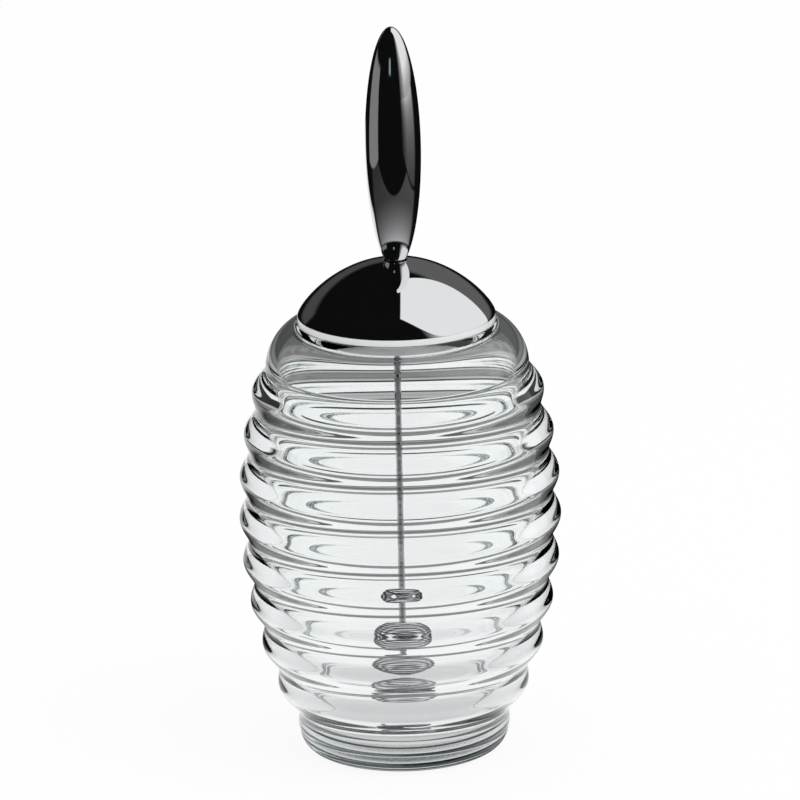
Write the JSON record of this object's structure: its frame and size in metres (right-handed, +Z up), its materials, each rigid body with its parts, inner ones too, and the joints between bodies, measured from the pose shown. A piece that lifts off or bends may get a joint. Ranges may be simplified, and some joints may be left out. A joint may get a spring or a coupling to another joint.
{
  "type": "honey pot with dipper lid",
  "caption": "Ribbed clear glass honey pot with a domed mirror steel lid, a long tapered handle and a wound wire dipper under the lid.",
  "frame": {"origin": "middle of the jar's base, on the surface that the pot stands on", "axes": "+Z up along the pot's axis, from the base to the tip of the handle; +X to the right and +Y away from the camera in the picture"},
  "size_m": [0.0992, 0.0992, 0.2299],
  "materials": {
    "clear_glass": "clear moulded glass, fire polished",
    "mirror_steel": "mirror polished stainless steel",
    "plain_steel": "turned, not polished",
    "polished_wire": "polished stainless wire",
    "milky_silicone": "milky translucent soft moulding"
  },
  "bodies": {
    "jar": {"jar": "clear_glass"},
    "ring": {"lid_seal": "milky_silicone"},
    "lid": {"lid_dome": "mirror_steel", "lid_plate": "mirror_steel", "handle": "mirror_steel", "clamp_bush": "plain_steel", "spring_washer": "plain_steel", "dipper_rod": "polished_wire", "dipper_coil": "polished_wire"}
  },
  "joints": [
    {"name": "lid_lift", "type": "slide", "parent": "jar", "child": "ring", "axis": [0, 0, 1], "range_m": [0, 0.14]},
    {"name": "lid_turn", "type": "hinge", "parent": "ring", "child": "lid", "pos_m": [0, 0, 0.14], "axis": [0, 0, 1], "continuous": true}
  ]
}
